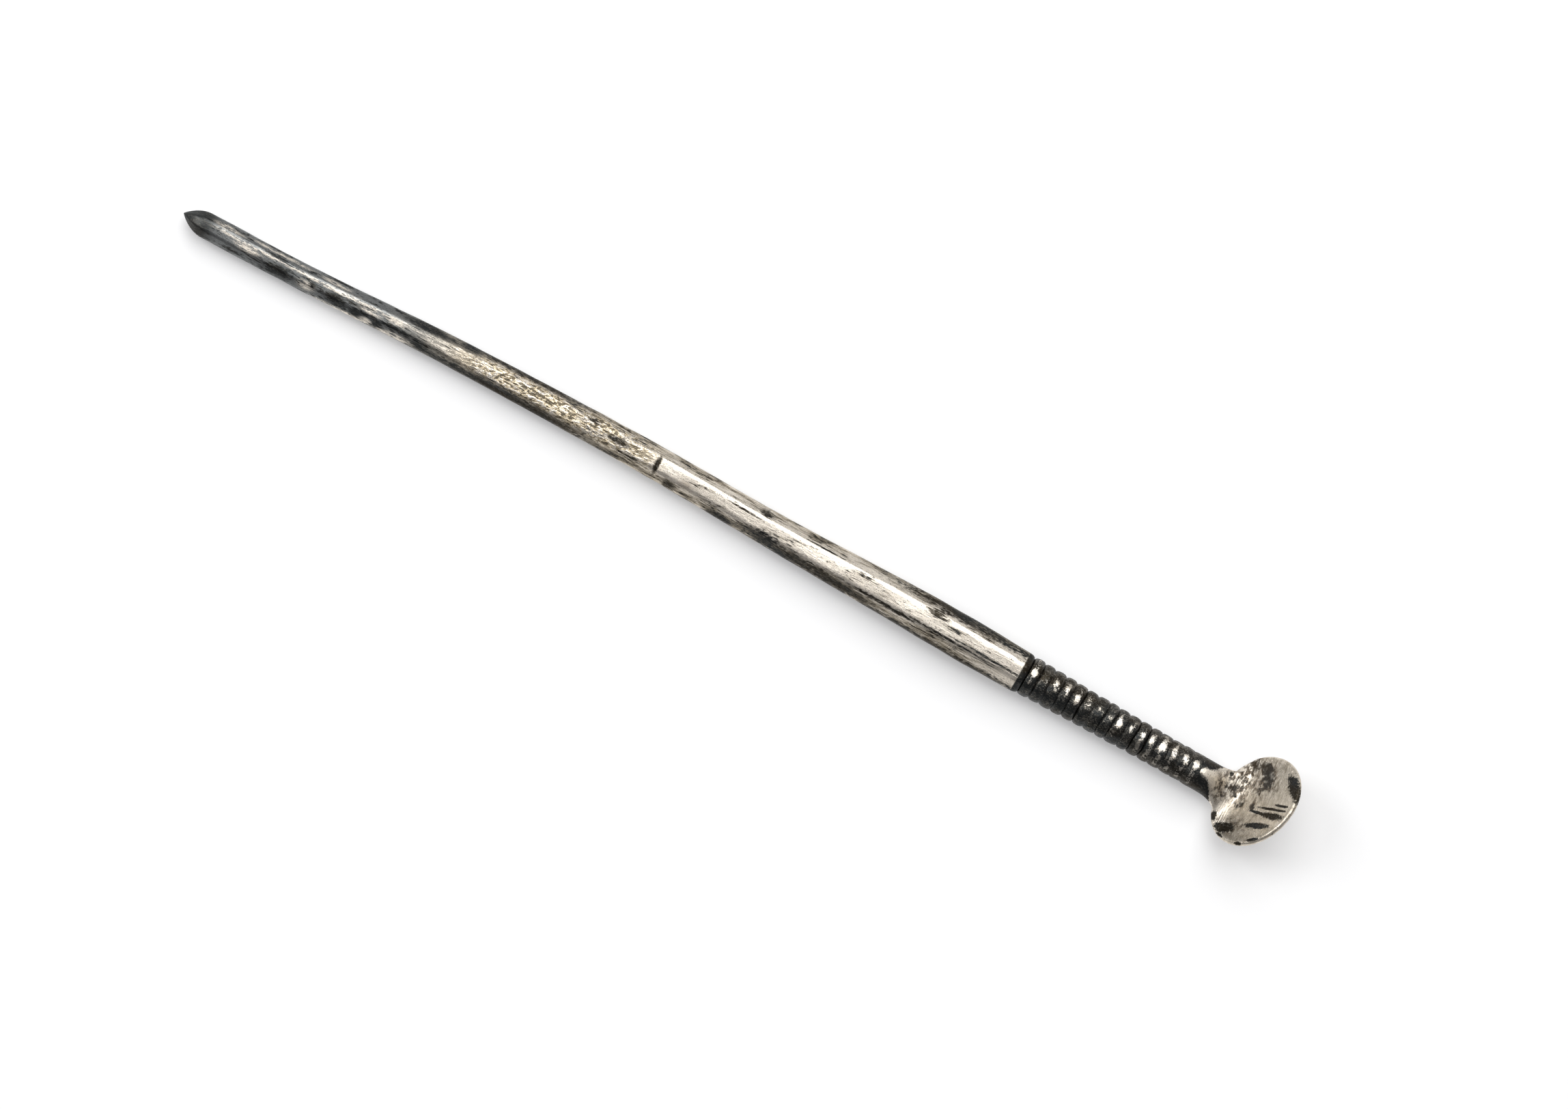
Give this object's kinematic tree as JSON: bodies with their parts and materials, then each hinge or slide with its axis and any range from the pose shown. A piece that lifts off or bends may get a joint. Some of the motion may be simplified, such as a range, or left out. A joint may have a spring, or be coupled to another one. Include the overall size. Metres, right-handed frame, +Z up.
{
  "type": "ear spoon",
  "caption": "Slender silver ear spoon with a blunt point, tapering hammered shank, ring-cut neck and small tilted dished disc.",
  "frame": {"origin": "on the ground under the middle of the whole object's box, with the shank lying on its lowest facet", "axes": "+X from the blunt point to the scoop, +Z up out of the scoop's open side, +Y to the side that the shank bows to"},
  "size_m": [0.0896, 0.0072, 0.0056],
  "materials": {
    "tarnished_silver": "silver, dulled grey with patches of dark tarnish",
    "bare_silver": "silver, hammered, rubbed bright, with dark tarnish in scratches and low places",
    "blackened_silver": "silver, black in the grooves and worn bright on the crests of the rings",
    "worn_silver": "silver, fine scratches, brown and black blotches"
  },
  "bodies": {
    "root": {"point": "tarnished_silver", "shank": "bare_silver", "ringed_neck": "blackened_silver", "scoop": "worn_silver"}
  },
  "joints": []
}
